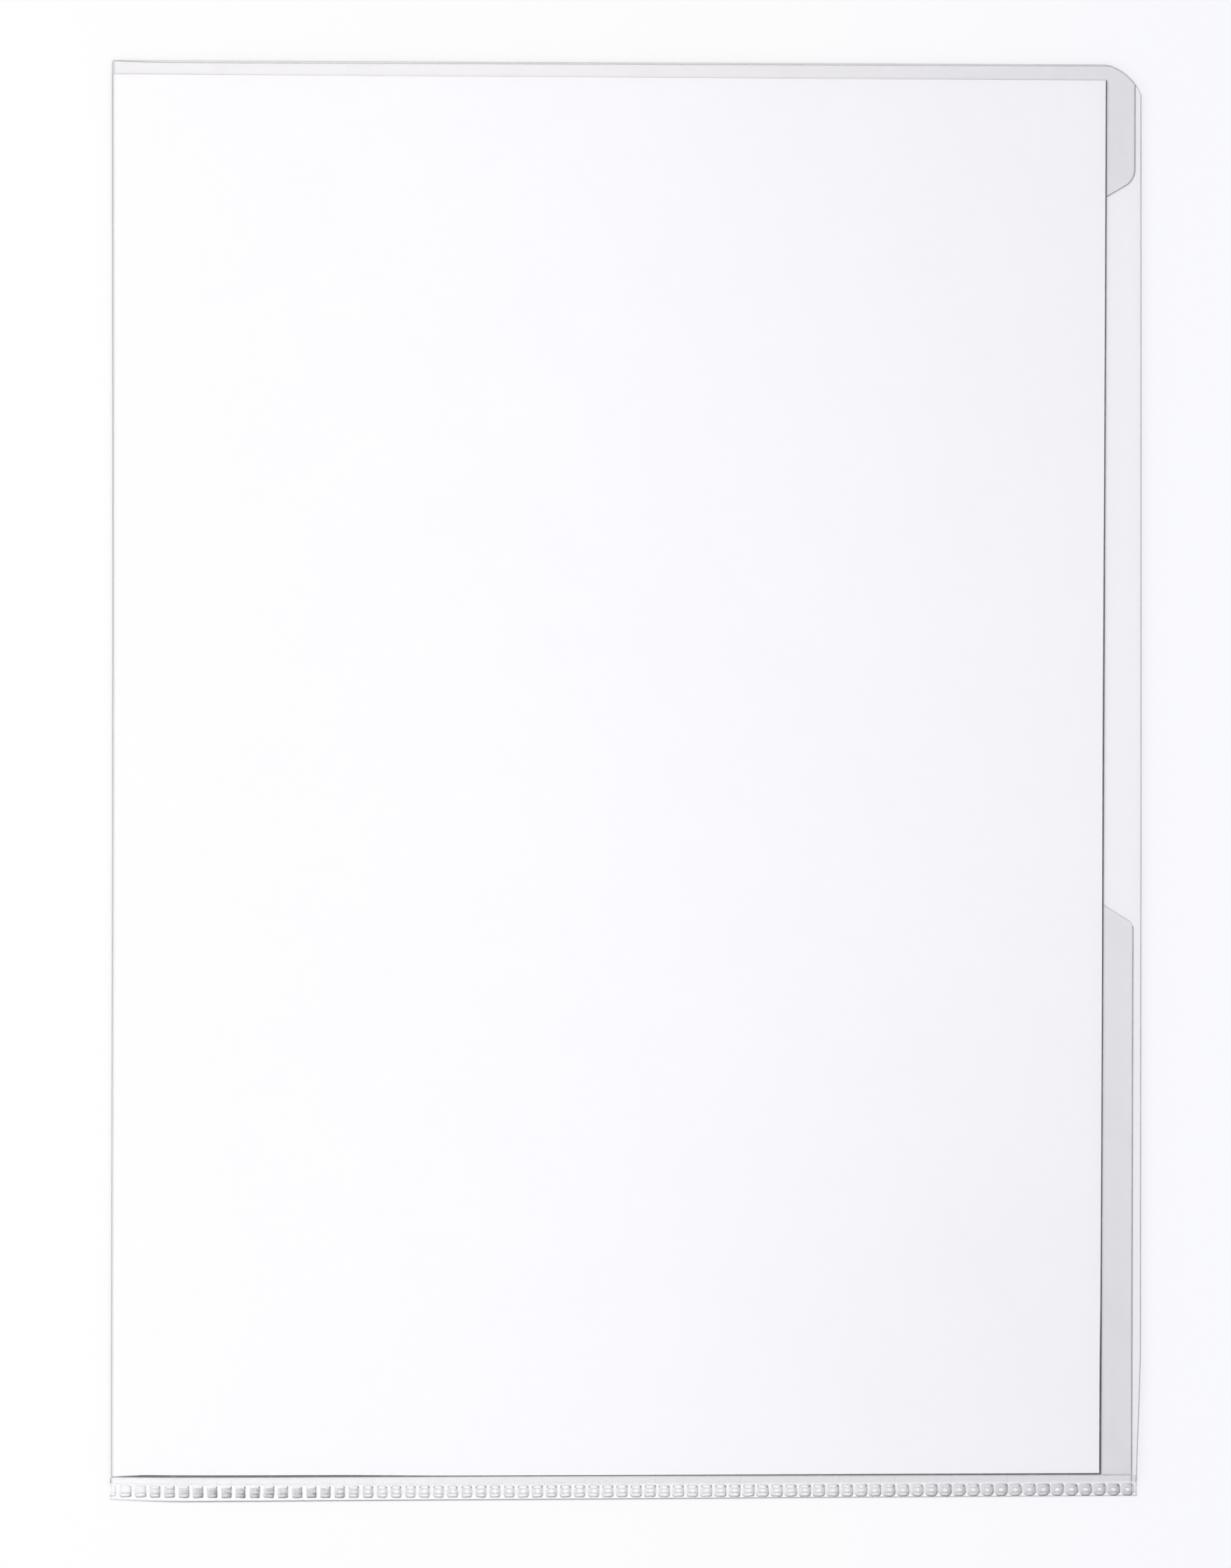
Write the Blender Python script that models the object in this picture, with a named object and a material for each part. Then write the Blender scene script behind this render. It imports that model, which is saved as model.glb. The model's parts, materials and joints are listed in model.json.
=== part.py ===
"""L-shaped document folder: one clear film, folded along its left edge and welded along its bottom
edge, open at the top and at the right, with one sheet of A4 paper in the pocket.

The folder lies on its back. X runs across the page, Y up the page and Z up from the table, and the
origin is under the middle of the outline. The film is divided at its fold, at its weld and at the
lines along which its free front corner rolls open.
"""

import math

import bmesh
import bpy
from mathutils import Vector

# Driving dimensions, in metres
PAPER_WIDTH = 0.210
PAPER_HEIGHT = 0.297
PAPER_THICKNESS = 0.0001

FILM = 0.00015
CLEARANCE = 0.0003

# Room round the paper, which sets the size of the folder
PAPER_FROM_FOLD = 0.00095
PAPER_FROM_SEAM = 0.0005
OPEN_SIDE_MARGIN = 0.0079
OPEN_TOP_MARGIN = 0.0030

# The top right corner is cut by a round punch that meets both edges at an angle
CORNER_RADIUS = 0.011
CORNER_RUN_ACROSS = 0.0070
CORNER_RUN_DOWN = 0.0067

# The front film's free edge draws in towards the weld
TAPER_WIDTH = 0.0009
TAPER_LENGTH = 0.034

# The back film is a little narrower and has a long grip notch in its free edge
BACK_SETBACK = 0.0014
NOTCH_FROM_TOP = 0.0244
NOTCH_LENGTH = 0.1582
NOTCH_DEPTH = 0.015
NOTCH_SLOPE = math.radians(31)
NOTCH_SHOULDER_RADIUS = 0.003
NOTCH_FLOOR_RADIUS = 0.010

# Weld: a row of pressed cells, each a ridge round a dished floor, and the fork into two films above
CELL_FLOOR_WIDTH = 0.0007
CELL_FLOOR_HEIGHT = 0.0011
CELL_DISH_SLOPE = 0.00025
CELL_DISH_DEPTH = 0.0002
CELL_RIDGE_WIDTH = 0.0003
CELL_RIDGE_SLOPE = 0.0002
CELL_RIDGE_RISE = 0.00012
CELL_GAP = 0.0008
CELL_FROM_EDGE = 0.0004
CELL_FROM_FOLD = 0.0022
CELL_TO_FORK = 0.0002
FORK_LENGTH = 0.0013

# Roll of the free corner: lines parallel to the diagonal between the ends of the fold and the weld
BEND_COUNT = 6
FIRST_BEND = 0.006
CORNER_TIP = 0.050

ARC_STEPS = 10

# Sizes that follow from the driving dimensions
CELL_BORDER = CELL_DISH_SLOPE + CELL_RIDGE_WIDTH + CELL_RIDGE_SLOPE
CELL_WIDTH = CELL_FLOOR_WIDTH + 2 * CELL_BORDER
CELL_HEIGHT = CELL_FLOOR_HEIGHT + 2 * CELL_BORDER
CELL_PITCH = CELL_WIDTH + CELL_GAP
FORK_START = CELL_FROM_EDGE + CELL_HEIGHT + CELL_TO_FORK
SEAM_HEIGHT = FORK_START + FORK_LENGTH
FOLDER_WIDTH = FILM + PAPER_FROM_FOLD + PAPER_WIDTH + OPEN_SIDE_MARGIN
FOLDER_HEIGHT = SEAM_HEIGHT + PAPER_FROM_SEAM + PAPER_HEIGHT + OPEN_TOP_MARGIN

# Levels above the table
FUSED = 2 * FILM
PAPER_LEVEL = FILM + CLEARANCE
FRONT_LEVEL = PAPER_LEVEL + PAPER_THICKNESS + CLEARANCE
STACK = FRONT_LEVEL + FILM
FOLD_RADIUS = STACK / 2

# Edges of the outline
LEFT = -FOLDER_WIDTH / 2
RIGHT = FOLDER_WIDTH / 2
BOTTOM = -FOLDER_HEIGHT / 2
TOP = FOLDER_HEIGHT / 2
PANEL_LEFT = LEFT + FOLD_RADIUS + CLEARANCE
PANEL_BOTTOM = BOTTOM + SEAM_HEIGHT + CLEARANCE
BACK_RIGHT = RIGHT - BACK_SETBACK
SEAM_RIGHT = RIGHT - TAPER_WIDTH

# The diagonal that the bending lines run along, and how far the square corner lies from it
FOLD_TOP_END = Vector((LEFT, TOP))
WELD_RIGHT_END = Vector((RIGHT, BOTTOM))
SQUARE_CORNER = Vector((RIGHT, TOP))
ALONG = (WELD_RIGHT_END - FOLD_TOP_END).normalized()
ACROSS = Vector((-ALONG.y, ALONG.x))
REACH = (SQUARE_CORNER - FOLD_TOP_END).dot(ACROSS)
BEND_SPACING = (REACH - FIRST_BEND - CORNER_TIP) / (BEND_COUNT - 1)


def clear_scene():
    for thing in list(bpy.data.objects):
        bpy.data.objects.remove(thing)


def finish(name, colour, roughness, alpha=1.0):
    made = bpy.data.materials.new(name)
    made.use_nodes = True
    shader = made.node_tree.nodes["Principled BSDF"]
    shader.inputs["Base Color"].default_value = (*colour, 1.0)
    shader.inputs["Roughness"].default_value = roughness
    shader.inputs["Metallic"].default_value = 0.0
    shader.inputs["Alpha"].default_value = alpha
    made.diffuse_color = (*colour, alpha)
    return made


def place(name, bm, material, origin):
    """Makes an object of a closed bmesh in folder coordinates, with its origin at the given point."""
    bmesh.ops.recalc_face_normals(bm, faces=bm.faces)
    bmesh.ops.translate(bm, verts=bm.verts, vec=-origin)
    mesh = bpy.data.meshes.new(name)
    bm.to_mesh(mesh)
    bm.free()
    mesh.materials.append(material)
    thing = bpy.data.objects.new(name, mesh)
    thing.location = origin
    bpy.context.scene.collection.objects.link(thing)
    return thing


def arc_centre(start, end, radius):
    """Centre of the arc from start to end that bulges to the right of its direction."""
    half = (end - start) / 2
    left = Vector((-half.y, half.x)).normalized()
    return start + half + left * math.sqrt(radius**2 - half.length_squared)


def arc(start, end, centre):
    """Points of the shorter arc about centre, from start to end."""
    first = start - centre
    turn = -first.angle_signed(end - centre)
    begin = math.atan2(first.y, first.x)
    angles = [begin + turn * step / ARC_STEPS for step in range(ARC_STEPS + 1)]
    return [centre + first.length * Vector((math.cos(a), math.sin(a))) for a in angles]


def fillet(before, corner, after, radius):
    """Points of the tangent arc that rounds a corner between two neighbouring points."""
    towards = (before - corner).normalized()
    away = (after - corner).normalized()
    half_angle = towards.angle(away) / 2
    reach = radius / math.tan(half_angle)
    centre = corner + (towards + away).normalized() * radius / math.sin(half_angle)
    return arc(corner + towards * reach, corner + away * reach, centre)


def corner_arc(right):
    """The punched top right corner, from the film's free edge at x = right to its top edge."""
    low = Vector((RIGHT, TOP - CORNER_RUN_DOWN))
    high = Vector((RIGHT - CORNER_RUN_ACROSS, TOP))
    centre = arc_centre(low, high, CORNER_RADIUS)
    start_y = centre.y + math.sqrt(CORNER_RADIUS**2 - (right - centre.x) ** 2)
    return arc(Vector((right, start_y)), high, centre)


def front_outline():
    return [
        Vector((PANEL_LEFT, PANEL_BOTTOM)),
        Vector((SEAM_RIGHT, PANEL_BOTTOM)),
        Vector((RIGHT, BOTTOM + TAPER_LENGTH)),
        *corner_arc(RIGHT),
        Vector((PANEL_LEFT, TOP)),
    ]


def notch_outline():
    """The grip notch, from its lower shoulder to its upper one."""
    slope_rise = NOTCH_DEPTH * math.tan(NOTCH_SLOPE)
    high = TOP - NOTCH_FROM_TOP
    low = high - NOTCH_LENGTH
    floor = BACK_RIGHT - NOTCH_DEPTH
    edge_below = Vector((BACK_RIGHT, PANEL_BOTTOM))
    shoulder_low = Vector((BACK_RIGHT, low))
    floor_low = Vector((floor, low + slope_rise))
    floor_high = Vector((floor, high - slope_rise))
    shoulder_high = Vector((BACK_RIGHT, high))
    edge_above = Vector((BACK_RIGHT, TOP))
    return [
        *fillet(edge_below, shoulder_low, floor_low, NOTCH_SHOULDER_RADIUS),
        *fillet(shoulder_low, floor_low, floor_high, NOTCH_FLOOR_RADIUS),
        *fillet(floor_low, floor_high, shoulder_high, NOTCH_FLOOR_RADIUS),
        *fillet(floor_high, shoulder_high, edge_above, NOTCH_SHOULDER_RADIUS),
    ]


def back_outline():
    return [
        Vector((PANEL_LEFT, PANEL_BOTTOM)),
        Vector((BACK_RIGHT, PANEL_BOTTOM)),
        *notch_outline(),
        *corner_arc(BACK_RIGHT),
        Vector((PANEL_LEFT, TOP)),
    ]


def flat_face(outline, level):
    bm = bmesh.new()
    bm.faces.new([bm.verts.new((point.x, point.y, level)) for point in outline])
    return bm


def extrude(bm, vector):
    """Draws the faces of a bmesh out along a vector into a closed body."""
    drawn = bmesh.ops.extrude_face_region(bm, geom=bm.faces[:], use_keep_orig=True)
    moved = [item for item in drawn["geom"] if isinstance(item, bmesh.types.BMVert)]
    bmesh.ops.translate(bm, verts=moved, vec=vector)


def cut_away(bm, offset, beyond):
    """Removes what lies beyond, or else before, a line parallel to the diagonal."""
    bmesh.ops.bisect_plane(
        bm,
        geom=bm.verts[:] + bm.edges[:] + bm.faces[:],
        plane_co=(FOLD_TOP_END + ACROSS * offset).to_3d(),
        plane_no=ACROSS.to_3d(),
        clear_outer=beyond,
        clear_inner=not beyond,
    )


def bend_offset(index):
    return FIRST_BEND + index * BEND_SPACING


def bend_point(index):
    """Middle of a bending line, halfway through the front film."""
    share = bend_offset(index) / REACH
    on_top_edge = FOLD_TOP_END.lerp(SQUARE_CORNER, share)
    on_free_edge = WELD_RIGHT_END.lerp(SQUARE_CORNER, share)
    middle = (on_top_edge + on_free_edge) / 2
    return Vector((middle.x, middle.y, FRONT_LEVEL + FILM / 2))


def back_panel(material):
    bm = flat_face(back_outline(), level=0.0)
    extrude(bm, (0, 0, FILM))
    place("back_panel", bm, material, origin=Vector((0, 0, 0)))


def half_round(centre, radius):
    """Points round the left side of a circle, from its lowest to its highest."""
    angles = [math.pi * (1.5 - step / ARC_STEPS) for step in range(ARC_STEPS + 1)]
    return [centre + radius * Vector((math.cos(a), math.sin(a))) for a in angles]


def spine_fold(material):
    """The film's fold: a half round between the two panels, drawn up the page."""
    centre = Vector((LEFT + FOLD_RADIUS, FOLD_RADIUS))
    outside = half_round(centre, FOLD_RADIUS)
    inside = half_round(centre, FOLD_RADIUS - FILM)
    section = [*outside, *reversed(inside)]
    bm = bmesh.new()
    bm.faces.new([bm.verts.new((point.x, PANEL_BOTTOM, point.y)) for point in section])
    extrude(bm, (0, TOP - PANEL_BOTTOM, 0))
    fold = place("spine_fold", bm, material, origin=Vector((LEFT, 0, FOLD_RADIUS)))
    fold.data.shade_smooth()
    fold.data.set_sharp_from_angle(angle=math.radians(40))


def seam_section():
    """Points (y, z) round the weld's section, with the span over the cell row first."""
    cell_low = BOTTOM + CELL_FROM_EDGE
    cell_high = cell_low + CELL_HEIGHT
    fork = BOTTOM + FORK_START
    end = BOTTOM + SEAM_HEIGHT
    return [
        (cell_high, FUSED),
        (cell_low, FUSED),
        (BOTTOM, FUSED),
        (BOTTOM, 0.0),
        (end, 0.0),
        (end, FILM),
        (fork, FUSED - FILM),
        (end, FRONT_LEVEL),
        (end, STACK),
        (fork, FUSED),
    ]


def cell_starts():
    room = SEAM_RIGHT - LEFT - CELL_FROM_FOLD - CELL_WIDTH
    count = int(room / CELL_PITCH) + 1
    return [LEFT + CELL_FROM_FOLD + index * CELL_PITCH for index in range(count)]


def weld_seam(material):
    """The welded band: a forked section drawn along X, with a pressed cell at every pitch."""
    bm = bmesh.new()
    ring = [bm.verts.new((LEFT, y, z)) for y, z in seam_section()]
    left_end = bm.faces.new(ring)
    edges = left_end.edges[:]
    cells = []
    x = LEFT
    for start in cell_starts():
        edges, _ = draw_on(bm, edges, start - x)
        edges, cell = draw_on(bm, edges, CELL_WIDTH)
        cells.append(cell)
        x = start + CELL_WIDTH
    edges, _ = draw_on(bm, edges, SEAM_RIGHT - x)
    bmesh.ops.contextual_create(bm, geom=edges)
    bmesh.ops.recalc_face_normals(bm, faces=bm.faces)
    press(bm, cells)
    place("weld_seam", bm, material, origin=Vector((0, BOTTOM, 0)))


def draw_on(bm, edges, length):
    """Carries the section's edges on along X, and returns them with the new face over the cell row."""
    drawn = bmesh.ops.extrude_edge_only(bm, edges=edges)["geom"]
    verts = [item for item in drawn if isinstance(item, bmesh.types.BMVert)]
    bmesh.ops.translate(bm, verts=verts, vec=(length, 0, 0))
    faces = [item for item in drawn if isinstance(item, bmesh.types.BMFace)]
    moved = set(verts)
    rims = [item for item in drawn if isinstance(item, bmesh.types.BMEdge)]
    ends = [edge for edge in rims if moved.issuperset(edge.verts)]
    cell_row = Vector((BOTTOM + CELL_FROM_EDGE + CELL_HEIGHT / 2, FUSED))
    over_cells = min(faces, key=lambda face: (face.calc_center_median().yz - cell_row).length)
    return ends, over_cells


def press(bm, cells):
    """Raises a ridge round each cell and dishes its middle."""
    for width, rise in (
        (CELL_RIDGE_SLOPE, CELL_RIDGE_RISE),
        (CELL_RIDGE_WIDTH, 0.0),
        (CELL_DISH_SLOPE, -CELL_DISH_DEPTH),
    ):
        bmesh.ops.inset_individual(bm, faces=cells, thickness=width, depth=rise)


def front_panel(material):
    """The part of the front film that the fold and the weld hold flat."""
    bm = flat_face(front_outline(), FRONT_LEVEL)
    cut_away(bm, bend_offset(0) - CLEARANCE / 2, beyond=True)
    extrude(bm, (0, 0, FILM))
    return place("front_panel", bm, material, origin=Vector((0, 0, FRONT_LEVEL)))


def front_corner(material, panel):
    """The free corner as a chain of strips, each with its origin on the line it bends about."""
    carrier = panel
    carrier_origin = panel.location.copy()
    for index in range(BEND_COUNT):
        is_tip = index == BEND_COUNT - 1
        bm = flat_face(front_outline(), FRONT_LEVEL)
        cut_away(bm, bend_offset(index) + CLEARANCE / 2, beyond=False)
        if not is_tip:
            cut_away(bm, bend_offset(index + 1) - CLEARANCE / 2, beyond=True)
        extrude(bm, (0, 0, FILM))
        origin = bend_point(index)
        strip = place("front_corner" if is_tip else f"front_bend_{index + 1}", bm, material, origin)
        strip.parent = carrier
        strip.location = origin - carrier_origin
        carrier = strip
        carrier_origin = origin


def paper_sheet(material):
    middle = Vector((
        LEFT + FILM + PAPER_FROM_FOLD + PAPER_WIDTH / 2,
        BOTTOM + SEAM_HEIGHT + PAPER_FROM_SEAM + PAPER_HEIGHT / 2,
        PAPER_LEVEL + PAPER_THICKNESS / 2,
    ))
    bm = bmesh.new()
    bmesh.ops.create_cube(bm, size=1.0)
    bmesh.ops.scale(bm, verts=bm.verts, vec=(PAPER_WIDTH, PAPER_HEIGHT, PAPER_THICKNESS))
    bmesh.ops.translate(bm, verts=bm.verts, vec=middle)
    place("paper_sheet", bm, material, origin=middle)


def main():
    clear_scene()
    back_panel(finish("back_film", (0.90, 0.90, 0.93), roughness=0.10, alpha=0.25))
    spine_fold(finish("folded_film", (0.86, 0.86, 0.89), roughness=0.12, alpha=0.35))
    weld_seam(finish("welded_film", (0.80, 0.80, 0.83), roughness=0.25, alpha=0.50))
    front_film = finish("front_film", (0.92, 0.92, 0.94), roughness=0.10, alpha=0.25)
    front_corner(front_film, front_panel(front_film))
    paper_sheet(finish("white_paper", (0.93, 0.93, 0.95), roughness=0.85))


main()
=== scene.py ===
import json
import math
import random
from types import SimpleNamespace

import bmesh
import bpy
from mathutils import Matrix, Vector


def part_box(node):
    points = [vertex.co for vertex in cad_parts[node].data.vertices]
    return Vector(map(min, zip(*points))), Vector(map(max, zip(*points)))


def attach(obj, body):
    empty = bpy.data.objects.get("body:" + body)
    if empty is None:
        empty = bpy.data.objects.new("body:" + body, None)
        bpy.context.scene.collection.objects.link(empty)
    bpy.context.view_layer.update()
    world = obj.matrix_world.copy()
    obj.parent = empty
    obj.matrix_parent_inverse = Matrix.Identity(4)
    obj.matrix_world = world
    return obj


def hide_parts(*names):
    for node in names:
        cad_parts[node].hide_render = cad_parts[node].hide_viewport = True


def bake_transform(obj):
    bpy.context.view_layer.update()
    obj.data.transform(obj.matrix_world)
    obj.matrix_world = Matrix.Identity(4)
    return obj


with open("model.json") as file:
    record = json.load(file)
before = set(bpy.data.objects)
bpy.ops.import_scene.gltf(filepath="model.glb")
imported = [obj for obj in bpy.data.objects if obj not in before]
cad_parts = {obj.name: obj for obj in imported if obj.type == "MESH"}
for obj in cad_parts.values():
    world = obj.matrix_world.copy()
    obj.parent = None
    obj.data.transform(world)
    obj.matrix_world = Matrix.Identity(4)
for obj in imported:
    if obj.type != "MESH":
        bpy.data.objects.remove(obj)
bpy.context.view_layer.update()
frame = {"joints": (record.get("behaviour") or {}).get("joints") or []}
scene = bpy.context.scene
scene.view_settings.view_transform = "Standard"

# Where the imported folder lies, in metres
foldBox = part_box("spine_fold")
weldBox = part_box("weld_seam")
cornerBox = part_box("front_corner")
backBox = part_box("back_panel")
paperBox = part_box("paper_sheet")
leftEdge = foldBox[0].x
rightEdge = cornerBox[1].x
topEdge = cornerBox[1].y
bottomEdge = weldBox[0].y
filmThickness = backBox[1].z - backBox[0].z
stackHeight = cornerBox[1].z
weldReach = 0.00015  # both films run this far past the back panel, into the weld
filmFoot = backBox[0].y - weldReach
tiny = 1e-6  # what lies closer than this is in the same place
rightward = Vector((1, 0, 0))
upward = Vector((0, 1, 0))  # up the picture
print("frame loaded, outline", leftEdge, rightEdge, bottomEdge, topEdge)


class Wire:
    # a socket of a node tree, which takes plain maths
    def __init__(self, tree, socket=None):
        self.tree = tree
        self.socket = socket

    def node(self, kind, settings=None, values=None, out=0):
        made = self.tree.nodes.new("ShaderNode" + kind)
        for key, value in (settings or {}).items():
            setattr(made, key, value)
        for key, value in (values or {}).items():
            if isinstance(value, Wire):
                self.tree.links.new(value.socket, made.inputs[key])
            else:
                made.inputs[key].default_value = value
        return Wire(self.tree, made.outputs[out] if made.outputs else None)

    def maths(self, operation, *terms):
        return self.node("Math", {"operation": operation}, dict(enumerate(terms)))

    def __add__(self, other):
        return self.maths("ADD", self, other)

    def __radd__(self, other):
        return self.maths("ADD", other, self)

    def __sub__(self, other):
        return self.maths("SUBTRACT", self, other)

    def __rsub__(self, other):
        return self.maths("SUBTRACT", other, self)

    def __mul__(self, other):
        return self.maths("MULTIPLY", self, other)

    def __rmul__(self, other):
        return self.maths("MULTIPLY", other, self)

    def __truediv__(self, other):
        return self.maths("DIVIDE", self, other)

    def __rtruediv__(self, other):
        return self.maths("DIVIDE", other, self)

    def __pow__(self, other):
        return self.maths("POWER", self, other)

    def __abs__(self):
        return self.maths("ABSOLUTE", self)

    def least(self, other):
        return self.maths("MINIMUM", self, other)

    def most(self, other):
        return self.maths("MAXIMUM", self, other)

    def clamped(self):
        return self.least(1.0).most(0.0)

    def eased(self, low, high):
        # 0 at low, 1 at high, smooth between
        span = {0: self, 1: low, 2: high, 3: 0.0, 4: 1.0}
        return self.node("MapRange", {"interpolation_type": "SMOOTHSTEP"}, span)

    def blended(self, first, second):
        # colour first where self is 0, second where it is 1
        pair = {0: self, 6: first, 7: second}
        return self.node("Mix", {"data_type": "RGBA"}, pair, out=2)


def newFinish(name):
    finish = bpy.data.materials.new(name)
    finish.use_nodes = True
    finish.node_tree.nodes.clear()
    return finish, Wire(finish.node_tree)


def showFinish(wire, shader):
    wire.node("OutputMaterial", values={"Surface": shader})


def objectCoords(wire):
    return wire.node("TexCoord", out="Object")


def axisOf(coords, number):
    return coords.node("SeparateXYZ", values={0: coords}, out=number)


def flatNoise(wire, coords, scale, detail):
    # the sheets are flat, so their patterns need only x and y
    values = {"Vector": coords, "Scale": scale, "Detail": detail}
    return wire.node("TexNoise", {"noise_dimensions": "2D"}, values)


# The sheet of film before it is folded
sheetSet = {
    "punchRadius": 0.011,  # top right corner, cut through both films
    "punchAcross": 0.0070,
    "punchDown": 0.0067,
    "punchSteps": 12,
    "roundSteps": 10,
    "freeEdgeIn": 0.0002,  # front edge stands in at the top
    "midEdgeOut": 0.0002,  # and swells a little lower down
    "bellyOut": 0.0004,
    "bellyUp": 0.030,
    "taperWidth": 0.0004,  # and draws in at the weld
    "frontTopDrop": 0.00045,  # front film is cut a little lower than the back
    "frontTopRun": 0.0055,
    "frontTopSteps": 6,
    "frontTopRise": 0.00037,  # both top edges climb towards the right
    "backTopRise": 0.00023,
    "backSetIn": 0.00134,
    "notchFromTop": 0.0244,
    "notchLength": 0.1582,
    "notchDepth": 0.015,
    "notchSlope": (math.radians(30.5), math.radians(32)),  # upper, lower
    "shoulderRadius": (0.0038, 0.0022),
    "floorRadius": 0.010,
    "edgeBand": 0.00020,  # how wide a cut edge looks dark
    "cutSize": 0.012,  # the sheet is cut into faces of about this size
    "foldSteps": 14,
    "foldStations": 24,
    "foldIn": 0.00017,  # the fold stands in a little, and more halfway down
    "foldBow": 0.00020,
    "foldBowAt": 0.030,
    "foldBowReach": 0.16,
    "foldReach": 0.0004,  # what lies this near the fold moves with it
    "foldPress": 0.5,  # films and paper lie flatter towards the fold
    "foldPressRun": 0.020,
    "foldEndRound": 0.0007,  # the top end of the fold is rounded off
    "foldEndShare": 0.55,
    "foldEndCuts": (0.12, 0.31, 0.60, 1.0),
}


filmFinish = {
    "tint": (0.9905, 0.9880, 0.9910, 1.0),  # what one surface lets through
    "mirror": (0.94, 0.94, 0.96, 1.0),
    "faceOn": 0.04,  # share mirrored looking straight at it
    "slantPower": 5.0,  # how late the rest comes in at a slant
    "roughness": (0.05, 0.14),
    "waveScale": 14.0,
    "waveHeight": 0.0006,
    "waveStrength": 0.4,
    "scuffScale": 420.0,
    "scuffFrom": (0.56, 0.72),
    "scuffRough": 0.1,
    "scuff": 0.012,
}


def mirrorShare(wire):
    # how much the film mirrors, more where it is seen at a slant
    facing = wire.node("LayerWeight", values={"Blend": 0.5}, out="Facing")
    faceOn = filmFinish["faceOn"]
    return faceOn + (1 - faceOn) * facing ** filmFinish["slantPower"]


def clearFilm(name):
    finish, wire = newFinish(name)
    coords = objectCoords(wire)
    wave = flatNoise(wire, coords, filmFinish["waveScale"], 0.0)
    scuff = flatNoise(wire, coords, filmFinish["scuffScale"], 1.0)
    marks = scuff.eased(*filmFinish["scuffFrom"])
    lowRough, highRough = filmFinish["roughness"]
    bump = wire.node("Bump", values={
        "Strength": filmFinish["waveStrength"],
        "Distance": filmFinish["waveHeight"],
        "Height": wave,
    })
    gloss = wire.node("BsdfPrincipled", values={
        "Base Color": filmFinish["mirror"],
        "Metallic": 1.0,
        "Roughness": lowRough + (highRough - lowRough) * wave + filmFinish["scuffRough"] * marks,
        "Normal": bump,
    })
    clear = wire.node("BsdfTransparent", values={"Color": filmFinish["tint"]})
    veil = mirrorShare(wire) + filmFinish["scuff"] * marks
    showFinish(wire, wire.node("MixShader", values={0: veil.clamped(), 1: clear, 2: gloss}))
    return finish


# Painted shade: grey bands along the cut edges and the fold, paler along edges that face up the picture
edgeShading = {
    "colour": ((0.16, 0.16, 0.18, 1.0), (0.30, 0.30, 0.33, 1.0)),
    "cover": (0.41, 0.57),
    "scale": 160.0,
    "roughness": 0.25,
    "litStrength": 0.25,  # painted light: edges that face up the picture get less painted shade, as if they catch more light
    "topStrength": 0.60,
    "litFrom": 0.3,
    "creaseCover": (0.25, 0.41),  # at the bottom and at the top
    "creaseFade": (-0.10, 0.10),
    "creaseWidth": 0.00020,
    "shadeCover": 0.05,  # softer painted shade inside the crease
    "shadeWidth": 0.0009,
}


def drawnFilm(wire, mirrored, cover, colour, roughness):
    # film that mirrors a little everywhere, with painted shade or highlight over part of it
    plainShare = mirrored / (mirrored + cover)
    solid = wire.node("BsdfPrincipled", values={
        "Base Color": plainShare.blended(colour, filmFinish["mirror"]),
        "Metallic": plainShare,
        "Roughness": roughness,
    })
    clear = wire.node("BsdfTransparent", values={"Color": filmFinish["tint"]})
    hidden = mirrored + cover * (1 - mirrored)
    showFinish(wire, wire.node("MixShader", values={0: hidden, 1: clear, 2: solid}))


def greyOver(wire, coords, cover):
    # painted grey shade that hides part of what lies behind the film
    drift = flatNoise(wire, coords, edgeShading["scale"], 1.0)
    grey = drift.blended(*edgeShading["colour"])
    drawnFilm(wire, filmFinish["faceOn"], cover, grey, edgeShading["roughness"])


def cutEdge(name, strength):
    # painted shade: a cut film edge gathers the light away, so it is drawn as a grey line
    finish, wire = newFinish(name)
    coords = objectCoords(wire)
    low, high = edgeShading["cover"]
    drift = flatNoise(wire, coords, edgeShading["scale"] / 2, 1.0)
    greyOver(wire, coords, strength * (low + (high - low) * drift))
    return finish


def foldShading(name):
    # painted shade, darkest along the fold itself, with a softer painted shade beside it
    finish, wire = newFinish(name)
    coords = objectCoords(wire)
    y = axisOf(coords, 1)
    reach = (y - sheetSet["foldBowAt"]) / sheetSet["foldBowReach"]
    bow = sheetSet["foldIn"] + sheetSet["foldBow"] * (1 - reach * reach).most(0.0) ** 2.0
    inward = axisOf(coords, 0) - leftEdge - bow
    low, high = edgeShading["creaseCover"]
    cover = low + (high - low) * y.eased(*edgeShading["creaseFade"])
    crease = cover * (1 - inward / edgeShading["creaseWidth"]).clamped()
    shade = edgeShading["shadeCover"] * (1 - inward / edgeShading["shadeWidth"]).clamped()
    greyOver(wire, coords, crease.most(shade))
    return finish


def hiddenJoin(name):
    # the film runs on into the weld, so the walls where they meet don't show
    finish, wire = newFinish(name)
    showFinish(wire, wire.node("BsdfTransparent"))
    return finish


film = clearFilm("clear_film")
# painted shade along the cut edges and the fold, paler along edges that face up the picture
filmEdge = cutEdge("film_cut_edge_shade", 1.0)
foldEdge = foldShading("film_fold_shade")
litEdge = cutEdge("film_lit_edge_shade", edgeShading["litStrength"])
topLine = cutEdge("film_top_edge_shade", edgeShading["topStrength"])
joinWall = hiddenJoin("film_join")
filmFinishes = [film, filmEdge, foldEdge, litEdge, topLine, joinWall]
print("film finishes made")


def atFoot(verts):
    return all(abs(vert.co.y - filmFoot) < tiny for vert in verts)


def hideJoin(bm, finishes):
    for face in bm.faces:
        if atFoot(face.verts):
            face.material_index = finishes.index(joinWall)


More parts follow.
